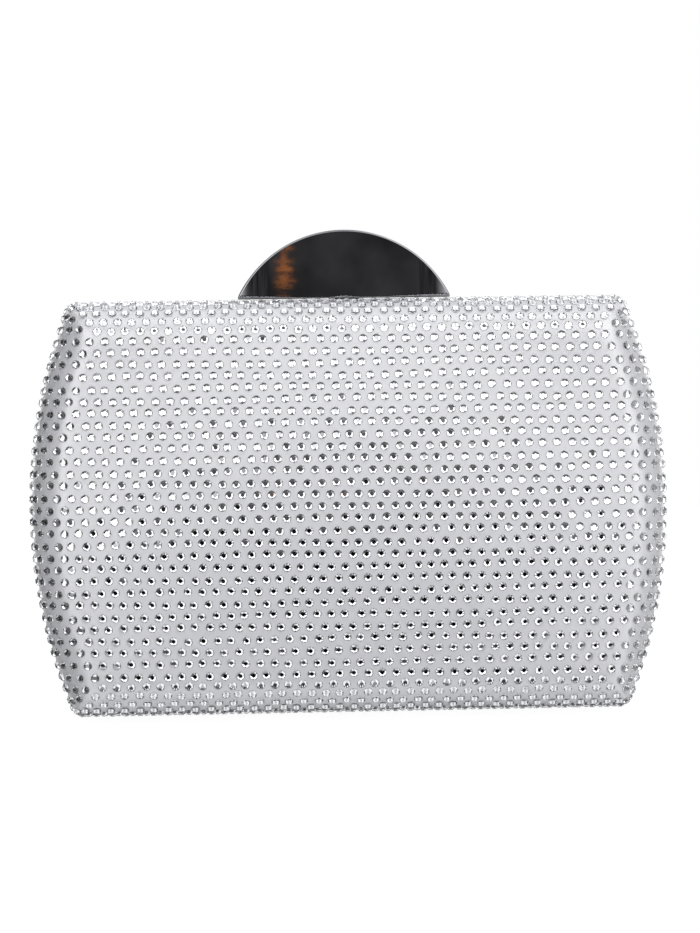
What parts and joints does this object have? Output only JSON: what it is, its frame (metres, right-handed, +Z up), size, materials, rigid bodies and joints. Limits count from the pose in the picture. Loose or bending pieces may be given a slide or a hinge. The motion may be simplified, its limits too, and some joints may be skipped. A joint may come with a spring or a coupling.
{
  "type": "minaudiere",
  "caption": "Hard-case evening bag with bowed sides, set all over with small clear stones, hinged along its base and closed by a half-moon lever clasp on top.",
  "frame": {"origin": "middle of the footprint at the tips of the stones the bag stands on", "axes": "+X along the width, -Y towards the front, +Z up"},
  "size_m": [0.185, 0.05, 0.1406],
  "materials": {
    "satin": "smooth silver satin, tightly drawn over the case",
    "crystal": "clear foil-backed glass stones, glued on",
    "foam": "thin polyurethane foam, hidden",
    "moulded_shell": "moulded plastic, hidden",
    "card": "grey board behind the lining, hidden",
    "lining": "silver-grey satin lining, glued to its board",
    "nickel": "polished nickel plate",
    "black_nickel": "polished black nickel plate",
    "steel": "plain bright steel"
  },
  "bodies": {
    "rear": {"rear_shell": "moulded_shell", "rear_padding": "foam", "rear_cover": "satin", "rear_stones": "crystal", "rear_base_stones": "crystal", "rear_board": "card", "rear_lining": "lining", "rear_frame": "nickel", "rear_knuckles": "nickel", "hinge_pins": "steel", "clasp_base": "nickel", "clasp_pin": "steel", "clasp_springs": "steel", "clasp_screws": "steel", "slip_pocket": "lining", "chain_lugs": "nickel"},
    "front": {"front_shell": "moulded_shell", "front_padding": "foam", "front_cover": "satin", "front_stones": "crystal", "front_base_stones": "crystal", "front_board": "card", "front_lining": "lining", "front_frame": "nickel", "front_knuckles": "nickel", "catch_plate": "steel", "catch_rivets": "steel"},
    "clasp": {"clasp_plate": "black_nickel", "latch_hook": "steel"}
  },
  "joints": [
    {"name": "opening", "type": "hinge", "parent": "rear", "child": "front", "pos_m": [0, 0, 0.00128], "axis": [1, 0, 0], "range_deg": [0, 90]},
    {"name": "clasp_press", "type": "hinge", "parent": "rear", "child": "clasp", "pos_m": [0, 0.0038, 0.11638], "axis": [-1, 0, 0], "range_deg": [0, 8], "stiffness_Nm_per_rad": 0.04, "springref_deg": -14.32}
  ]
}
